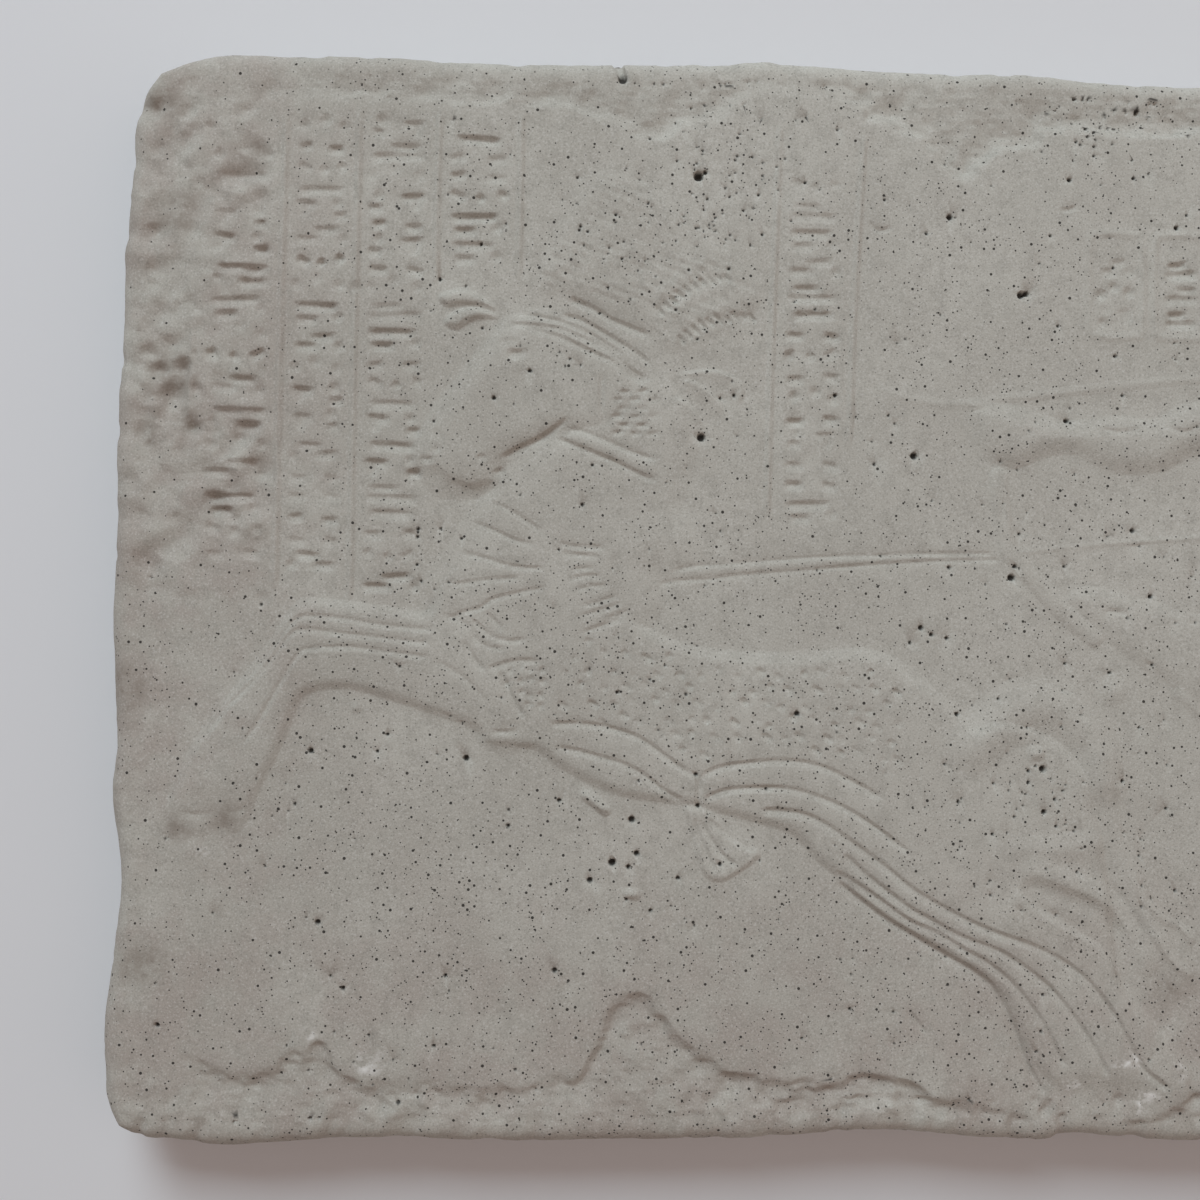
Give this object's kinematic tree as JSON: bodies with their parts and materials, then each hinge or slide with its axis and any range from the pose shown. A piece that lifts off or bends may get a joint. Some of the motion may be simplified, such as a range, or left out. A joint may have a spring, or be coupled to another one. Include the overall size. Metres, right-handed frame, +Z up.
{
  "type": "relief wall plaque",
  "caption": "Oblong slab of cast concrete with galloping horses, a chariot and an archer in low relief, columns of plain strokes and a worn, chipped border.",
  "frame": {"origin": "middle of the flat back, where the plaque meets the wall", "axes": "+Y out of the back into the wall, so the relief faces -Y; +Z up; +X to the right of someone who looks at the relief"},
  "size_m": [0.2814, 0.0161, 0.162],
  "materials": {
    "concrete": "matt cast concrete with small air-bubble holes"
  },
  "bodies": {
    "root": {"plaque": "concrete"}
  },
  "joints": []
}
